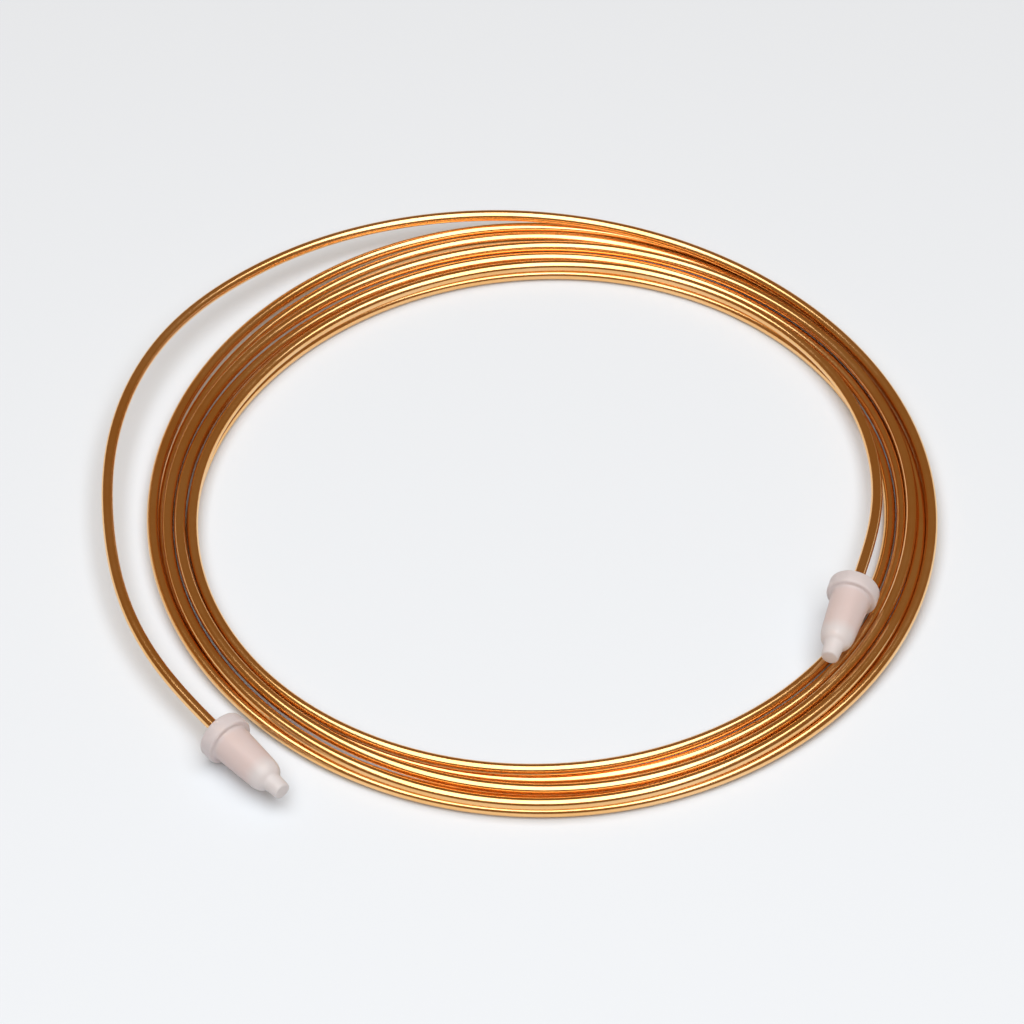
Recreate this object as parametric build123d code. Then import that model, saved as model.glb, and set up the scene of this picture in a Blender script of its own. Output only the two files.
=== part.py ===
from build123d import *
import os
from math import cos, hypot, radians, sin

# The tube, in millimetres
tube_diameter = 3.175
tube_wall = 0.76
turn_clearance = 0.15

# The eye that the turns lie around is slightly oval, with its long side turned from +X
eye_length = 191.0
eye_width = 179.6
eye_turn = 22.6

# The soft caps pushed on both ends, each turned about the tube's own line
cap_length = 26.2
flange_diameter = 14.0
flange_thickness = 4.3
flange_edge_radius = 0.7
body_root_diameter = 10.9
body_end_diameter = 9.5
body_length = 12.0
shoulder_length = 5.0
shoulder_foot_diameter = 6.4
shoulder_foot_step = 0.5
nose_root_diameter = 5.4
nose_tip_diameter = 4.8
nose_edge_radius = 0.5
socket_depth = 17.0

# Where the turns were seen to lie, in the units of the reading, in which the tube, the
# spacing of turns side by side and the eye had these sizes. Each row is one turn, counted
# from the inner end, and holds the turn's distance from the eye's middle and its height,
# every 30 degrees from +X.
read_tube_diameter = 3.54
read_pitch = 3.69
read_eye_length = 213.0
read_eye_width = 200.2
read_turns = [
    [
        (104.4, 7.5), (108.8, 5.4), (109.8, 5.0), (107.0, 5.2),
        (103.4, 5.4), (105.9, 5.4), (109.3, 5.4), (109.2, 5.4),
        (106.8, 5.4), (104.5, 5.2), (102.6, 4.0), (104.3, 1.8),
    ],
    [
        (109.2, 1.8), (109.8, 1.8), (108.8, 1.8), (107.0, 1.8),
        (104.2, 1.8), (105.9, 1.8), (108.9, 1.8), (108.6, 1.8),
        (105.9, 1.8), (105.0, 1.8), (106.8, 1.8), (108.1, 1.8),
    ],
    [
        (112.6, 4.2), (112.8, 1.8), (114.0, 1.8), (117.2, 1.8),
        (109.4, 1.8), (110.6, 2.8), (111.8, 6.2), (110.2, 6.2),
        (110.0, 5.2), (113.6, 5.0), (112.4, 5.0), (114.0, 5.0),
    ],
    [
        (116.2, 5.4), (116.8, 5.6), (115.6, 5.0), (120.2, 1.8),
        (113.2, 3.8), (114.4, 5.2), (116.6, 5.4), (113.8, 5.4),
        (116.8, 5.2), (119.0, 5.2), (116.2, 5.2), (116.6, 5.4),
    ],
    [
        (117.4, 1.8), (117.8, 2.6), (118.4, 1.8), (127.0, 1.8),
        (121.4, 1.8), (118.0, 1.8), (117.6, 1.8), (115.2, 1.8),
        (113.2, 1.8), (112.8, 1.8), (113.4, 1.8), (117.0, 1.8),
    ],
    [
        (120.6, 1.8), (121.8, 1.8), (122.6, 1.8), (130.6, 1.8),
        (126.6, 2.0), (120.8, 3.8), (119.4, 5.0), (115.2, 4.6),
        (116.6, 1.8), (117.8, 1.8), (116.8, 2.2), (118.6, 3.6),
    ],
    [
        (119.2, 5.3), (119.6, 6.0), (118.9, 5.2), (129.0, 5.3),
        (132.7, 8.5),
    ],
]

# The outer end springs away from the turns, through points given by azimuth, lane and height
sprung_end = [
    (128.5, 9.1, 2.1),
    (142.6, 9.9, 2.5),
    (157.1, 9.7, 2.6),
    (172.4, 8.4, 2.5),
    (184.3, 7.4, 2.3),
    (196.1, 7.5, 2.2),
    (207.1, 7.4, 2.0),
]

# Each cap's mouth, by azimuth and lane, and the direction that it points in
inner_cap_azimuth = -21.4
inner_cap_lane = -0.5
inner_cap_heading = -107.6
outer_cap_azimuth = 223.8
outer_cap_lane = 7.0
outer_cap_heading = -49.3
straight_lead = 0.9 * socket_depth

pitch = tube_diameter + turn_clearance
stations = len(read_turns[0])
points_per_station = 2
points_per_turn = stations * points_per_station
fillet_share = 0.45
stand_out = 1 / cos(radians(180 / points_per_turn))
easing_rounds = 24
easing_share = 0.1
parting_sweeps = 8
edges_per_span = 40


def oval_radius(length, width, azimuth):
    """Distance from the middle of an oval turned like the eye to its edge in a direction."""
    half_length = length / 2
    half_width = width / 2
    along = half_width * cos(radians(azimuth - eye_turn))
    across = half_length * sin(radians(azimuth - eye_turn))
    return half_length * half_width / hypot(along, across)


def eye_radius(azimuth):
    """Distance from the origin to the eye's edge in a direction."""
    return oval_radius(eye_length, eye_width, azimuth)


def read_lanes_and_heights():
    """The readings as distances from the eye's edge and above the floor, in tube pitches."""
    lanes = []
    heights = []
    for turn in read_turns:
        for station, (distance, height) in enumerate(turn):
            edge = oval_radius(read_eye_length, read_eye_width, 360 * station / stations)
            lanes.append(round((distance - edge) / read_pitch, 1))
            heights.append(round((height - read_tube_diameter / 2) / read_pitch, 1))
    return lanes, heights


def between(values, place):
    """Smooth curve through a list of values, at a place counted in steps."""
    step = min(int(place), len(values) - 2)
    part = place - step
    before = values[max(step - 1, 0)]
    start = values[step]
    end = values[step + 1]
    after = values[min(step + 2, len(values) - 1)]
    slope_start = (end - before) / 2
    slope_end = (after - start) / 2
    square = part * part
    cube = square * part
    return (
        (2 * cube - 3 * square + 1) * start
        + (cube - 2 * square + part) * slope_start
        + (3 * square - 2 * cube) * end
        + (cube - square) * slope_end
    )


def part_pair(lanes, heights, pairs):
    """Move two turns apart where the middle of the given pairs of points is less than a pitch."""
    across = sum(lanes[second] - lanes[first] for first, second in pairs) / len(pairs)
    up = sum(heights[second] - heights[first] for first, second in pairs) / len(pairs)
    apart = max(hypot(across, up), 0.001)
    push = max(1 - apart, 0) / 2 / apart
    for first, second in pairs:
        lanes[first] -= push * across
        lanes[second] += push * across
        heights[first] = max(heights[first] - push * up, 0)
        heights[second] = max(heights[second] + push * up, 0)


def part_turns(lanes, heights):
    """Part the turns at each point and midway to the next, where they may roll over each other."""
    for first in range(len(lanes)):
        for second in range(first + points_per_turn, len(lanes), points_per_turn):
            part_pair(lanes, heights, [(first, second)])
            if second + 1 < len(lanes):
                part_pair(lanes, heights, [(first, second), (first + 1, second + 1)])


def eased(values):
    """The same values with each drawn a little towards the middle of its neighbours."""
    inner = [
        here + easing_share * ((before + after) / 2 - here)
        for before, here, after in zip(values, values[1:], values[2:])
    ]
    return [values[0], *inner, values[-1]]


def settled(lanes, heights):
    """Turns that lie smoothly beside and on each other, one pitch or more apart."""
    for _ in range(easing_rounds):
        lanes = eased(lanes)
        heights = eased(heights)
        for _ in range(parting_sweeps):
            part_turns(lanes, heights)
    for _ in range(parting_sweeps * 8):
        part_turns(lanes, heights)
    return lanes, heights


def place_at(azimuth, lane, height):
    """Point given by its azimuth, and its lane and height in tube pitches."""
    radius = eye_radius(azimuth) + pitch * lane
    along = radius * cos(radians(azimuth))
    across = radius * sin(radians(azimuth))
    return along, across, tube_diameter / 2 + pitch * height


def coil_points():
    """Points along the turns, set out a little because rounded corners pass inside them."""
    lane_row, height_row = read_lanes_and_heights()
    steps = range((len(lane_row) - 1) * points_per_station + 1)
    places = [step / points_per_station for step in steps]
    lanes, heights = settled(
        [between(lane_row, place) for place in places],
        [max(between(height_row, place), 0) for place in places],
    )
    points = []
    for place, lane, height in zip(places, lanes, heights):
        along, across, up = place_at(360 * place / stations, lane, height)
        points.append((along * stand_out, across * stand_out, up))
    return points


def cap_frame(azimuth, lane, heading, rise):
    """Plane at a cap's mouth, with its normal along the cap and its rim above the floor."""
    mouth = Vector(place_at(azimuth, lane, 0))
    mouth.Z = flange_diameter / 2 + rise
    along = (cos(radians(heading)), sin(radians(heading)), 0)
    return Plane(origin=mouth, x_dir=(0, 0, 1), z_dir=along)


def straight_into_cap(frame):
    """Points that take the tube straight to the bottom of a cap's socket."""
    lead = frame.origin - frame.z_dir * straight_lead
    bottom = frame.origin + frame.z_dir * socket_depth
    return [tuple(lead), tuple(bottom)]


def rounded_route(points):
    """Straight runs through the points, with each corner rounded by a tangent arc."""
    corners = [Vector(point) for point in points]
    edges = []
    run_start = corners[0]
    for before, corner, after in zip(corners, corners[1:], corners[2:]):
        run_in = corner - before
        run_out = after - corner
        reach = fillet_share * min(run_in.length, run_out.length)
        arc_start = corner - run_in.normalized() * reach
        arc_end = corner + run_out.normalized() * reach
        edges.append(Edge.make_line(run_start, arc_start))
        edges.append(Edge.make_tangent_arc(arc_start, run_in, arc_end))
        run_start = arc_end
    edges.append(Edge.make_line(run_start, corners[-1]))
    return edges


def tube_route():
    """The tube's centre line, from the bottom of one cap's socket to that of the other."""
    inner_end = straight_into_cap(inner_cap_frame)[::-1]
    sprung = [place_at(*place) for place in sprung_end]
    outer_end = straight_into_cap(outer_cap_frame)
    return rounded_route(inner_end + coil_points() + sprung + outer_end)


def swept_span(edges):
    """A stretch of hollow tube along a few edges of the route."""
    path = Wire(edges)
    start = Plane(origin=path @ 0, z_dir=path % 0)
    section = start * (Circle(tube_diameter / 2) - Circle(tube_diameter / 2 - tube_wall))
    return sweep(section, path=path).solid()


def copper_tube():
    """One length of hollow tube, swept in spans whose walls are joined to one skin."""
    edges = tube_route()
    spans = [
        swept_span(edges[first : first + edges_per_span])
        for first in range(0, len(edges), edges_per_span)
    ]
    skin = []
    for span in spans:
        skin += [face for face in span.faces() if face.geom_type != GeomType.PLANE]
    for span, edge, place in ((spans[0], edges[0], 0), (spans[-1], edges[-1], 1)):
        flats = span.faces().filter_by(GeomType.PLANE)
        skin.append(flats.sort_by_distance(edge @ place)[0])
    return Solid(Shell(skin)), sum(edge.length for edge in edges)


def end_cap(frame):
    """A soft cap: flange, tapered body, rounded shoulder and nose, with a blind socket."""
    body_end = flange_thickness + body_length
    shoulder_end = body_end + shoulder_length
    nose_root = shoulder_end + shoulder_foot_step
    with BuildPart() as cap:
        with BuildSketch(Plane.XZ):
            with BuildLine():
                Line((0, 0), (flange_diameter / 2, 0))
                Line((flange_diameter / 2, 0), (flange_diameter / 2, flange_thickness))
                Line((flange_diameter / 2, flange_thickness), (body_root_diameter / 2, flange_thickness))
                Line((body_root_diameter / 2, flange_thickness), (body_end_diameter / 2, body_end))
                Spline(
                    (body_end_diameter / 2, body_end),
                    (shoulder_foot_diameter / 2, shoulder_end),
                    tangents=[(-0.06, 1), (-1, 0.8)],
                )
                Line((shoulder_foot_diameter / 2, shoulder_end), (nose_root_diameter / 2, nose_root))
                Line((nose_root_diameter / 2, nose_root), (nose_tip_diameter / 2, cap_length))
                Line((nose_tip_diameter / 2, cap_length), (0, cap_length))
                Line((0, cap_length), (0, 0))
            make_face()
        revolve(axis=Axis.Z)
        with Locations((0, 0, 0)):
            Cylinder(
                tube_diameter / 2,
                socket_depth,
                align=(Align.CENTER, Align.CENTER, Align.MIN),
                mode=Mode.SUBTRACT,
            )
        flange_rims = cap.edges().filter_by(GeomType.CIRCLE).filter_by(
            lambda edge: abs(edge.radius - flange_diameter / 2) < 0.01
        )
        fillet(flange_rims, flange_edge_radius)
        nose_rim = cap.edges().filter_by(GeomType.CIRCLE).sort_by(Axis.Z)[-1]
        fillet(nose_rim, nose_edge_radius)
    return frame.location * cap.part


def save(shape, name):
    shape.label = name
    export_step(shape, f"parts/{name}.step")


os.makedirs("parts", exist_ok=True)
inner_cap_frame = cap_frame(inner_cap_azimuth, inner_cap_lane, inner_cap_heading, tube_diameter)
outer_cap_frame = cap_frame(outer_cap_azimuth, outer_cap_lane, outer_cap_heading, 0)
tube, tube_length = copper_tube()
save(tube, "copper_tube")
save(end_cap(inner_cap_frame), "end_cap_inner")
save(end_cap(outer_cap_frame), "end_cap_outer")
print("tube length", round(tube_length, 1), "volume", round(tube.volume, 1))
print("valid", tube.is_valid, "faces", len(tube.faces()))
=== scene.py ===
from math import cos, hypot, pi, radians, sin

import bmesh
import bpy
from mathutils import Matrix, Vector
from mathutils.geometry import interpolate_bezier


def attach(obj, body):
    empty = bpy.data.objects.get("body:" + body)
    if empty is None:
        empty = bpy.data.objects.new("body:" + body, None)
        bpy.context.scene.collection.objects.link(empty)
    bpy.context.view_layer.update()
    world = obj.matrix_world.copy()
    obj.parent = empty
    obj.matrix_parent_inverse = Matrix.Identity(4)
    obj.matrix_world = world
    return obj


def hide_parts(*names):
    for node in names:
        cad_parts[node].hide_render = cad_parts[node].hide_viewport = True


MM = 0.001

# The tube, in millimetres, and the eye that its turns lie around
tube_diameter = 3.175
tube_wall = 0.76
turn_clearance = 0.15
eye_length = 191.0
eye_width = 179.6
eye_turn = 22.6

# Where the turns were seen to lie, in the units of the reading, in which the tube, the
# spacing of turns side by side and the eye had these sizes. Each row is one turn, counted
# from the inner end, and holds the turn's distance from the eye's middle and its height,
# every 30 degrees from +X.
read_tube_diameter = 3.54
read_pitch = 3.69
read_eye_length = 213.0
read_eye_width = 200.2
read_turns = [
    [
        (104.4, 7.5), (108.8, 5.4), (109.8, 5.0), (107.0, 5.2),
        (103.4, 5.4), (105.9, 5.4), (109.3, 5.4), (109.2, 5.4),
        (106.8, 5.4), (104.5, 5.2), (102.6, 4.0), (104.3, 1.8),
    ],
    [
        (109.2, 1.8), (109.8, 1.8), (108.8, 1.8), (107.0, 1.8),
        (104.2, 1.8), (105.9, 1.8), (108.9, 1.8), (108.6, 1.8),
        (105.9, 1.8), (105.0, 1.8), (106.8, 1.8), (108.1, 1.8),
    ],
    [
        (112.6, 4.2), (112.8, 1.8), (114.0, 1.8), (117.2, 1.8),
        (109.4, 1.8), (110.6, 2.8), (111.8, 6.2), (110.2, 6.2),
        (110.0, 5.2), (113.6, 5.0), (112.4, 5.0), (114.0, 5.0),
    ],
    [
        (116.2, 5.4), (116.8, 5.6), (115.6, 5.0), (120.2, 1.8),
        (113.2, 3.8), (114.4, 5.2), (116.6, 5.4), (113.8, 5.4),
        (116.8, 5.2), (119.0, 5.2), (116.2, 5.2), (116.6, 5.4),
    ],
    [
        (117.4, 1.8), (117.8, 2.6), (118.4, 1.8), (127.0, 1.8),
        (121.4, 1.8), (118.0, 1.8), (117.6, 1.8), (115.2, 1.8),
        (113.2, 1.8), (112.8, 1.8), (113.4, 1.8), (117.0, 1.8),
    ],
    [
        (120.6, 1.8), (121.8, 1.8), (122.6, 1.8), (130.6, 1.8),
        (126.6, 2.0), (120.8, 3.8), (119.4, 5.0), (115.2, 4.6),
        (116.6, 1.8), (117.8, 1.8), (116.8, 2.2), (118.6, 3.6),
    ],
    [
        (119.2, 5.3), (119.6, 6.0), (118.9, 5.2), (129.0, 5.3),
        (132.7, 8.5),
    ],
]

# The outer end springs away from the turns, through points given by azimuth, lane and height
sprung_end = [
    (128.5, 9.1, 2.1),
    (142.6, 9.9, 2.5),
    (157.1, 9.7, 2.6),
    (172.4, 8.4, 2.5),
    (184.3, 7.4, 2.3),
    (196.1, 7.5, 2.2),
    (207.1, 7.4, 2.0),
]

# Each cap's mouth, by azimuth and lane, and the direction that it points in
inner_cap_azimuth = -21.4
inner_cap_lane = -0.5
inner_cap_heading = -107.6
outer_cap_azimuth = 223.8
outer_cap_lane = 7.0
outer_cap_heading = -49.3
cap_length = 26.2
flange_diameter = 14.0
flange_thickness = 4.3
flange_edge_radius = 0.7
body_root_diameter = 10.9
body_end_diameter = 9.5
body_length = 12.0
shoulder_length = 5.0
shoulder_foot_diameter = 6.4
shoulder_foot_step = 0.5
nose_root_diameter = 5.4
nose_tip_diameter = 4.8
nose_edge_radius = 0.5
socket_depth = 17.0
mouth_softening = 0.4
body_root_softening = 0.4
straight_lead = 0.9 * socket_depth

pitch = tube_diameter + turn_clearance
stations = len(read_turns[0])
points_per_station = 2
points_per_turn = stations * points_per_station
fillet_share = 0.45
easing_rounds = 24
easing_share = 0.1
parting_sweeps = 8
stand_out = 1 / cos(radians(180 / points_per_turn))

# How finely the skins follow the forms: sides of the rounds, and lengths in millimetres
tube_sides = 20
cap_sides = 64
cap_taper_steps = 8
shoulder_points = 9
shoulder_handle = 0.35
straight_step = 3.0
arc_step = 3.2
least_arc_steps = 3
smoothing_rounds = 40
bore_rings = 3
rim_chamfer = 0.12
socket_slack = 0.02


def oval_radius(length, width, azimuth):
    """Distance from the middle of an oval turned like the eye to its edge in a direction."""
    half_length = length / 2
    half_width = width / 2
    along = half_width * cos(radians(azimuth - eye_turn))
    across = half_length * sin(radians(azimuth - eye_turn))
    return half_length * half_width / hypot(along, across)


def eye_radius(azimuth):
    """Distance from the origin to the eye's edge in a direction."""
    return oval_radius(eye_length, eye_width, azimuth)


def read_lanes_and_heights():
    """The readings as distances from the eye's edge and above the floor, in tube pitches."""
    lanes = []
    heights = []
    for turn in read_turns:
        for station, (distance, height) in enumerate(turn):
            edge = oval_radius(read_eye_length, read_eye_width, 360 * station / stations)
            lanes.append(round((distance - edge) / read_pitch, 1))
            heights.append(round((height - read_tube_diameter / 2) / read_pitch, 1))
    return lanes, heights


def between(values, place):
    """Value at a place between the given ones, on a smooth curve through them."""
    step = min(int(place), len(values) - 2)
    part = place - step
    before = values[max(step - 1, 0)]
    start = values[step]
    end = values[step + 1]
    after = values[min(step + 2, len(values) - 1)]
    slope_start = (end - before) / 2
    slope_end = (after - start) / 2
    square = part * part
    cube = square * part
    return (
        (2 * cube - 3 * square + 1) * start
        + (cube - 2 * square + part) * slope_start
        + (3 * square - 2 * cube) * end
        + (cube - square) * slope_end
    )


def part_pair(lanes, heights, pairs):
    """Move two turns apart where the middle of the given pairs of points is less than a pitch."""
    across = sum(lanes[second] - lanes[first] for first, second in pairs) / len(pairs)
    up = sum(heights[second] - heights[first] for first, second in pairs) / len(pairs)
    apart = max(hypot(across, up), 0.001)
    push = max(1 - apart, 0) / 2 / apart
    for first, second in pairs:
        lanes[first] -= push * across
        lanes[second] += push * across
        heights[first] = max(heights[first] - push * up, 0)
        heights[second] = max(heights[second] + push * up, 0)


def part_turns(lanes, heights):
    """Part the turns at each point and midway to the next, where they may roll over each other."""
    for first in range(len(lanes)):
        for second in range(first + points_per_turn, len(lanes), points_per_turn):
            part_pair(lanes, heights, [(first, second)])
            if second + 1 < len(lanes):
                part_pair(lanes, heights, [(first, second), (first + 1, second + 1)])


def eased(values):
    """The same values with each drawn a little towards the middle of its neighbours."""
    inner = [
        here + easing_share * ((before + after) / 2 - here)
        for before, here, after in zip(values, values[1:], values[2:])
    ]
    return [values[0], *inner, values[-1]]


def settled(lanes, heights):
    """Turns that lie smoothly beside and on each other, one pitch or more apart."""
    for _ in range(easing_rounds):
        lanes = eased(lanes)
        heights = eased(heights)
        for _ in range(parting_sweeps):
            part_turns(lanes, heights)
    for _ in range(parting_sweeps * 8):
        part_turns(lanes, heights)
    return lanes, heights


def place_at(azimuth, lane, height):
    """Point given by its azimuth, and its lane and height in tube pitches."""
    radius = eye_radius(azimuth) + pitch * lane
    along = radius * cos(radians(azimuth))
    across = radius * sin(radians(azimuth))
    return Vector((along, across, tube_diameter / 2 + pitch * height))


def coil_points():
    """Corner points of the wound turns, set out so that the rounded line keeps its size."""
    lane_row, height_row = read_lanes_and_heights()
    steps = range((len(lane_row) - 1) * points_per_station + 1)
    places = [step / points_per_station for step in steps]
    lanes, heights = settled(
        [between(lane_row, place) for place in places],
        [max(between(height_row, place), 0) for place in places],
    )
    points = []
    for place, lane, height in zip(places, lanes, heights):
        along, across, up = place_at(360 * place / stations, lane, height)
        points.append(Vector((along * stand_out, across * stand_out, up)))
    return points


def cap_line(azimuth, lane, heading, rise):
    """Mouth of a cap and the direction from it to the cap's nose."""
    mouth = place_at(azimuth, lane, 0)
    mouth.z = flange_diameter / 2 + rise
    return mouth, Vector((cos(radians(heading)), sin(radians(heading)), 0))


def rounded_corners(points):
    """Start and end of each corner's rounding, and its handles along the two runs."""
    for before, corner, after in zip(points, points[1:], points[2:]):
        run_in = corner - before
        run_out = after - corner
        reach = fillet_share * min(run_in.length, run_out.length)
        bend = run_in.angle(run_out)
        quarter = sin(bend / 4) / cos(bend / 4)
        handle = reach * 4 / 3 * quarter / max(sin(bend / 2), 1e-6) * cos(bend / 2)
        run_in.normalize()
        run_out.normalize()
        start = corner - run_in * reach
        end = corner + run_out * reach
        yield start, end, run_in * handle, run_out * handle


def straight_run(start, end):
    """Evenly spaced points from just after a start to an end."""
    steps = max(int((end - start).length / straight_step), 1)
    return [start.lerp(end, step / steps) for step in range(1, steps + 1)]


def centre_line():
    """Closely spaced points along the middle of the tube."""
    mouth, along = cap_line(*inner_cap)
    points = [mouth + along * socket_depth, mouth - along * straight_lead]
    points += coil_points() + [place_at(*place) for place in sprung_end]
    mouth, along = cap_line(*outer_cap)
    points += [mouth - along * straight_lead, mouth + along * socket_depth]
    line = [points[0]]
    for start, end, lead, tail in rounded_corners(points):
        line += straight_run(line[-1], start)
        steps = max(int((end - start).length / arc_step), least_arc_steps)
        line += interpolate_bezier(start, start + lead, end - tail, end, steps + 1)[1:]
    return line + straight_run(line[-1], points[-1])


def relaxed_line(line, rounds):
    """The line with its small changes of curvature smoothed away."""
    for _ in range(rounds):
        line = [
            line[0],
            *[
                here * 0.5 + (before + after) * 0.25
                for before, here, after in zip(line, line[1:], line[2:])
            ],
            line[-1],
        ]
    return line


def new_object(name, mesh, material, body="root"):
    """Smoothly shaded object of one material, riding on a body where one is named."""
    thing = bpy.data.objects.new(name, mesh)
    bpy.context.scene.collection.objects.link(thing)
    mesh.materials.append(material)
    for face in mesh.polygons:
        face.use_smooth = True
    if body:
        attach(thing, body)
    return thing


def ring_frames(line):
    """A sideways and an upward direction for each point, carried along without twist."""
    frames = []
    side = None
    for index, point in enumerate(line):
        ahead = line[min(index + 1, len(line) - 1)] - line[max(index - 1, 0)]
        ahead.normalize()
        if side is None:
            side = ahead.cross(Vector((0, 0, 1))).normalized()
        side = (side - ahead * side.dot(ahead)).normalized()
        frames.append((point, side, side.cross(ahead)))
    return frames


def ring(build, centre, side, up, size, sides):
    """Round of points about a centre, in the plane of two directions."""
    turns = [2 * pi * turn / sides for turn in range(sides)]
    return [
        build.verts.new((centre + side * (size * cos(turn)) + up * (size * sin(turn))) * MM)
        for turn in turns
    ]


def finished_mesh(build, name):
    """Mesh of what was built, with its faces turned outwards."""
    bmesh.ops.recalc_face_normals(build, faces=build.faces)
    mesh = bpy.data.meshes.new(name)
    build.to_mesh(mesh)
    build.free()
    return mesh


def tube_mesh(name, line, sides):
    """Hollow tube round a line: outer wall, both rims and a short stretch of bore."""
    frames = ring_frames(line)
    radius = tube_diameter / 2
    bore = radius - tube_wall
    last = len(frames) - 1
    profile = [(index, bore) for index in range(bore_rings, -1, -1)]
    profile.append((0, radius - rim_chamfer))
    profile += [(index, radius) for index in range(len(frames))]
    profile.append((last, radius - rim_chamfer))
    profile += [(last - index, bore) for index in range(bore_rings + 1)]
    build = bmesh.new()
    rings = [ring(build, *frames[index], size, sides) for index, size in profile]
    for near, far in zip(rings, rings[1:]):
        for turn in range(sides):
            onward = (turn + 1) % sides
            build.faces.new((near[turn], near[onward], far[onward], far[turn]))
    return finished_mesh(build, name)


def rim_arc(along, size, radius, first, last, steps=4):
    """Quarter round of a half section about a centre, between two angles in degrees."""
    angles = [radians(first + (last - first) * step / steps) for step in range(steps + 1)]
    return [(along + radius * cos(angle), size + radius * sin(angle)) for angle in angles]


def cap_profile():
    """Half section of a cap as (distance along, radius), from the socket round to the nose."""
    bore = tube_diameter / 2 + socket_slack
    rim = flange_diameter / 2 - flange_edge_radius
    body_end = flange_thickness + body_length
    shoulder_end = body_end + shoulder_length
    body_root = flange_thickness + body_root_softening
    outline = [(socket_depth, 0.0), (socket_depth, bore)]
    outline += [(mouth_softening, bore), (0.0, bore + mouth_softening)]
    outline += rim_arc(flange_edge_radius, rim, flange_edge_radius, 180, 90)
    outline += rim_arc(flange_thickness - flange_edge_radius, rim, flange_edge_radius, 90, 0)
    root_size = body_root_diameter / 2 + body_root_softening
    outline += rim_arc(body_root, root_size, body_root_softening, 180, 270)
    for step in range(1, cap_taper_steps + 1):
        share = step / cap_taper_steps
        size = body_root_diameter + (body_end_diameter - body_root_diameter) * share
        outline.append((body_root + (body_end - body_root) * share, size / 2))
    start = Vector((body_end, body_end_diameter / 2, 0))
    end = Vector((shoulder_end, shoulder_foot_diameter / 2, 0))
    handle = shoulder_handle * (end - start).length
    lead = Vector((1, -0.06, 0)).normalized() * handle
    tail = Vector((0.8, -1, 0)).normalized() * handle
    shoulder = interpolate_bezier(start, start + lead, end - tail, end, shoulder_points)
    outline += [(point.x, point.y) for point in shoulder[1:]]
    outline.append((shoulder_end + shoulder_foot_step, nose_root_diameter / 2))
    tip = nose_tip_diameter / 2 - nose_edge_radius
    outline += rim_arc(cap_length - nose_edge_radius, tip, nose_edge_radius, 90, 0)
    outline.append((cap_length, 0.0))
    return outline


def cap_mesh(name, cap_place, sides):
    """Cap turned about its own line, with a mouth that closes softly on the tube."""
    mouth, along = cap_line(*cap_place)
    side = along.cross(Vector((0, 0, 1)))
    up = side.cross(along)
    build = bmesh.new()
    rings = []
    for place, size in cap_profile():
        centre = mouth + along * place
        if size == 0:
            rings.append([build.verts.new(centre * MM)])
        else:
            rings.append(ring(build, centre, side, up, size, sides))
    for near, far in zip(rings, rings[1:]):
        for turn in range(sides):
            onward = (turn + 1) % sides
            corners = [near[turn % len(near)], near[onward % len(near)]]
            corners += [far[onward % len(far)], far[turn % len(far)]]
            build.faces.new(list(dict.fromkeys(corners)))
    return finished_mesh(build, name)


def node(tree, kind, sockets=None):
    """New node with some of its inputs set."""
    made = tree.nodes.new(kind)
    for key, value in (sockets or {}).items():
        made.inputs[key].default_value = value
    return made


def new_material(name, sockets):
    """New material: its node tree, its skin with some inputs set, and the piece's coordinates."""
    material = bpy.data.materials.new(name)
    material.use_nodes = True
    tree = material.node_tree
    tree.nodes.clear()
    out = node(tree, "ShaderNodeOutputMaterial")
    skin = node(tree, "ShaderNodeBsdfPrincipled", sockets)
    tree.links.new(skin.outputs[0], out.inputs[0])
    place = node(tree, "ShaderNodeTexCoord").outputs["Object"]
    return material, tree, skin, place


def noise(tree, place, scale, detail):
    """Noise over the piece, with features about 1 / scale metres wide."""
    made = node(tree, "ShaderNodeTexNoise", {"Scale": scale, "Detail": detail})
    tree.links.new(place, made.inputs["Vector"])
    return made.outputs["Fac"]


def ranged(tree, source, sockets):
    """A value carried over from one range to another."""
    made = node(tree, "ShaderNodeMapRange", sockets)
    tree.links.new(source, made.inputs["Value"])
    return made.outputs["Result"]


def ramp(tree, source, stops):
    """A value turned to a colour, by two or more stops of position and colour."""
    made = node(tree, "ShaderNodeValToRGB")
    elements = made.color_ramp.elements
    for index, (position, colour) in enumerate(stops):
        stop = elements[index] if index < 2 else elements.new(position)
        stop.position = position
        stop.color = (*colour, 1)
    tree.links.new(source, made.inputs["Fac"])
    return made.outputs["Color"]


def add_bump(tree, skin, source, strength, distance):
    """Fine relief on a skin."""
    made = node(tree, "ShaderNodeBump", {"Strength": strength, "Distance": distance})
    tree.links.new(source, made.inputs["Height"])
    tree.links.new(made.outputs["Normal"], skin.inputs["Normal"])


def vector_math(tree, operation, first, second):
    """A vector worked on with a fixed second one."""
    made = node(tree, "ShaderNodeVectorMath")
    made.operation = operation
    made.inputs[1].default_value = second
    tree.links.new(first, made.inputs[0])
    return made


def copper():
    """Bright drawn copper: warm tint that drifts, and faint smears and grain."""
    material, tree, skin, place = new_material("bright_copper", {"Metallic": 1.0})
    stops = ((0.36, (0.93, 0.53, 0.2)), (0.66, (0.97, 0.61, 0.29)))
    tint = ramp(tree, noise(tree, place, 26.0, 3.0), stops)
    tree.links.new(tint, skin.inputs["Base Color"])
    smear = noise(tree, place, 420.0, 4.0)
    spread = {"From Min": 0.3, "From Max": 0.7, "To Min": 0.16, "To Max": 0.2}
    tree.links.new(ranged(tree, smear, spread), skin.inputs["Roughness"])
    add_bump(tree, skin, noise(tree, place, 900.0, 2.0), 0.015, 0.0001)
    return material


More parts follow.
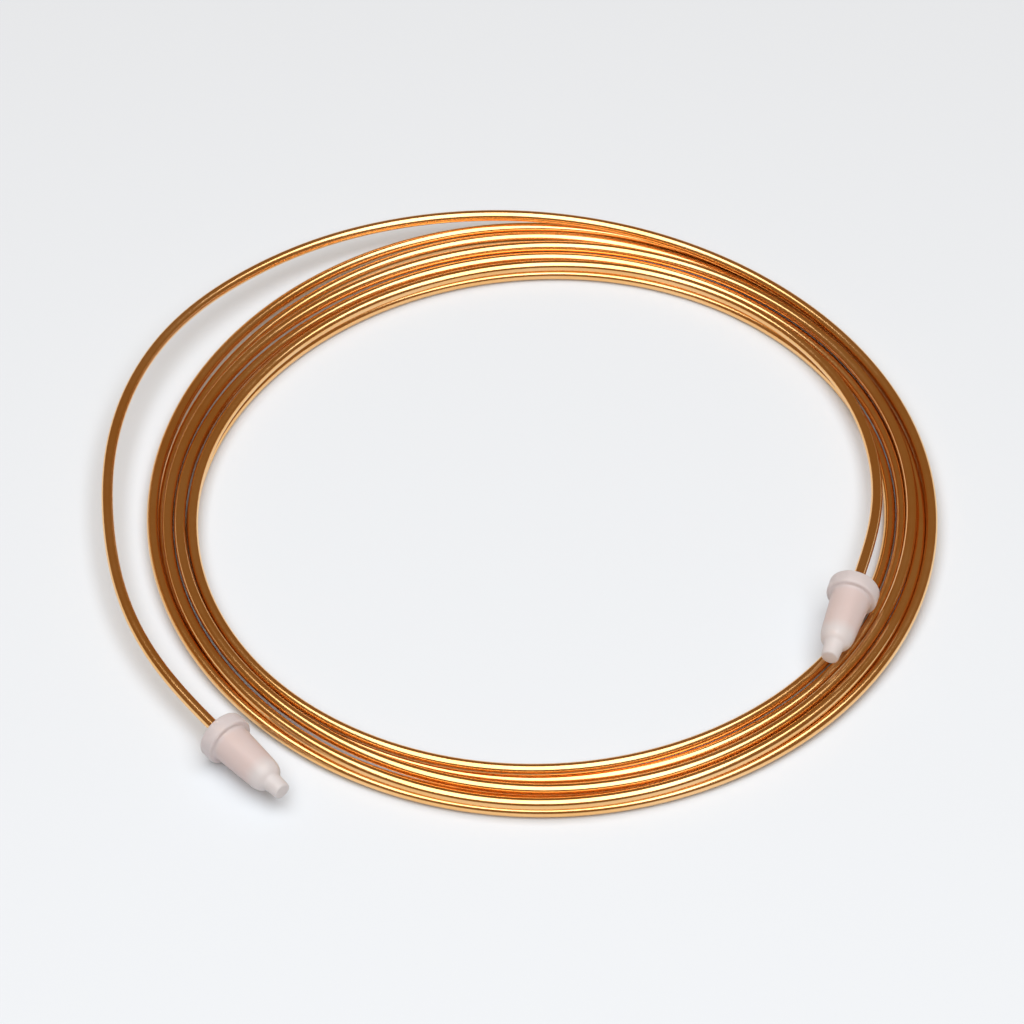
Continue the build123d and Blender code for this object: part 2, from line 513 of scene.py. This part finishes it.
def silicone(cap_place):
    """Cloudy silicone: whitish flange and nose, and a pink tint painted along the body where the
    copper inside shows through as a faint glow.
    """
    sockets = {"IOR": 1.41, "Transmission Weight": 0.35}
    material, tree, skin, place = new_material("cloudy_silicone", sockets)
    mouth, along = cap_line(*cap_place)
    apart = vector_math(tree, "SUBTRACT", place, mouth * MM).outputs["Vector"]
    depth = vector_math(tree, "DOT_PRODUCT", apart, along).outputs["Value"]
    share = ranged(tree, depth, {"From Min": 0.0, "From Max": cap_length * MM})
    # Painted glow: the pink along the socket stands in for the copper seen through the cloudy
    # silicone. The flange and nose keep the silicone's own whitish colour.
    stops = (
        (0.14, (0.8, 0.75, 0.77)),
        (0.22, (0.82, 0.68, 0.66)),
        (0.6, (0.83, 0.69, 0.67)),
        (0.72, (0.85, 0.83, 0.84)),
    )
    tint = ramp(tree, share, stops)
    cloud = noise(tree, place, 160.0, 3.0)
    veil = node(tree, "ShaderNodeMixRGB", {"Color2": (0.88, 0.85, 0.86, 1)})
    amount = ranged(tree, cloud, {"To Min": 0.1, "To Max": 0.4})
    tree.links.new(amount, veil.inputs["Fac"])
    tree.links.new(tint, veil.inputs["Color1"])
    tree.links.new(veil.outputs["Color"], skin.inputs["Base Color"])
    rough = ranged(tree, cloud, {"To Min": 0.34, "To Max": 0.5})
    tree.links.new(rough, skin.inputs["Roughness"])
    add_bump(tree, skin, cloud, 0.04, 0.0002)
    return material


def pale_floor():
    """Matt, faintly cool white."""
    material = bpy.data.materials.new("pale_floor")
    material.use_nodes = True
    skin = material.node_tree.nodes["Principled BSDF"]
    skin.inputs["Base Color"].default_value = (0.733, 0.8, 0.865, 1)
    skin.inputs["Roughness"].default_value = 0.9
    skin.inputs["Specular IOR Level"].default_value = 0.1
    return material


def add_floor():
    """Plain floor that the coil lies on, shown but not part of the object."""
    size = 3.0
    mesh = bpy.data.meshes.new("floor")
    mesh.from_pydata(
        [(-size, -size, 0), (size, -size, 0), (size, size, 0), (-size, size, 0)],
        [],
        [(0, 1, 2, 3)],
    )
    floor = new_object("floor", mesh, pale_floor(), body=None)


def add_light(name, place, target, size, watts, colour):
    """Rectangular soft light that faces a target."""
    lamp = bpy.data.lights.new(name, "AREA")
    lamp.shape = "RECTANGLE"
    lamp.size, lamp.size_y = size
    lamp.energy = watts
    lamp.color = colour
    thing = bpy.data.objects.new(name, lamp)
    thing.location = place
    thing.rotation_mode = "QUATERNION"
    thing.rotation_quaternion = (Vector(target) - Vector(place)).to_track_quat("-Z", "Y")
    bpy.context.scene.collection.objects.link(thing)


def light_the_room():
    """A weak warm fill all round, and one soft light above and a little in front."""
    world = bpy.data.worlds.new("room")
    world.use_nodes = True
    fill = world.node_tree.nodes["Background"]
    fill.inputs["Color"].default_value = (0.3, 0.17, 0.07, 1)
    fill.inputs["Strength"].default_value = 0.75
    bpy.context.scene.world = world
    add_light("softbox", (0, -0.4, 1.5), (0, -0.1, 0), (1.9, 1.9), 36.0, (0.97, 0.985, 1.0))


def add_camera():
    """The photograph's view: 48 degrees above the floor, 1.435 m away, looking along +Y."""
    distance = 1.435
    elevation = radians(48.0)
    floor_mm_per_pixel = 0.2763
    picture_width = 1024
    sensor_width = 36.0
    aim = Vector((-8.0, 3.33, 0.0)) * MM
    back = Vector((0, -cos(elevation), sin(elevation)))
    data = bpy.data.cameras.new("camera")
    data.sensor_width = sensor_width
    data.lens = sensor_width * (distance / MM / floor_mm_per_pixel) / picture_width
    camera = bpy.data.objects.new("camera", data)
    camera.location = aim + back * distance
    camera.rotation_mode = "QUATERNION"
    camera.rotation_quaternion = (-back).to_track_quat("-Z", "Y")
    bpy.context.scene.collection.objects.link(camera)
    bpy.context.scene.camera = camera


inner_cap = (inner_cap_azimuth, inner_cap_lane, inner_cap_heading, tube_diameter)
outer_cap = (outer_cap_azimuth, outer_cap_lane, outer_cap_heading, 0)

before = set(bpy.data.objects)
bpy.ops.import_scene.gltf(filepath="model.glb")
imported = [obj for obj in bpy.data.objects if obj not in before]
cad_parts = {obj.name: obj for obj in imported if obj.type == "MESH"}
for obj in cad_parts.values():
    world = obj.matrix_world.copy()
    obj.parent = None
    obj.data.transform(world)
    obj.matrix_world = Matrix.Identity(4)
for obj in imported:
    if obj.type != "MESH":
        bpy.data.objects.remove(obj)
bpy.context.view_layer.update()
bright_copper = copper()
line = relaxed_line(centre_line(), smoothing_rounds)
tube_skin = tube_mesh("copper_tube_skin", line, tube_sides)
tube = new_object("copper_tube_skin", tube_skin, bright_copper)
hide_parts("copper_tube")
for name, cap_place in (("end_cap_inner", inner_cap), ("end_cap_outer", outer_cap)):
    cap_skin = cap_mesh(name + "_skin", cap_place, cap_sides)
    cap = new_object(name + "_skin", cap_skin, silicone(cap_place))
    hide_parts(name)
add_floor()
light_the_room()
add_camera()
bpy.context.scene.view_settings.view_transform = "Standard"
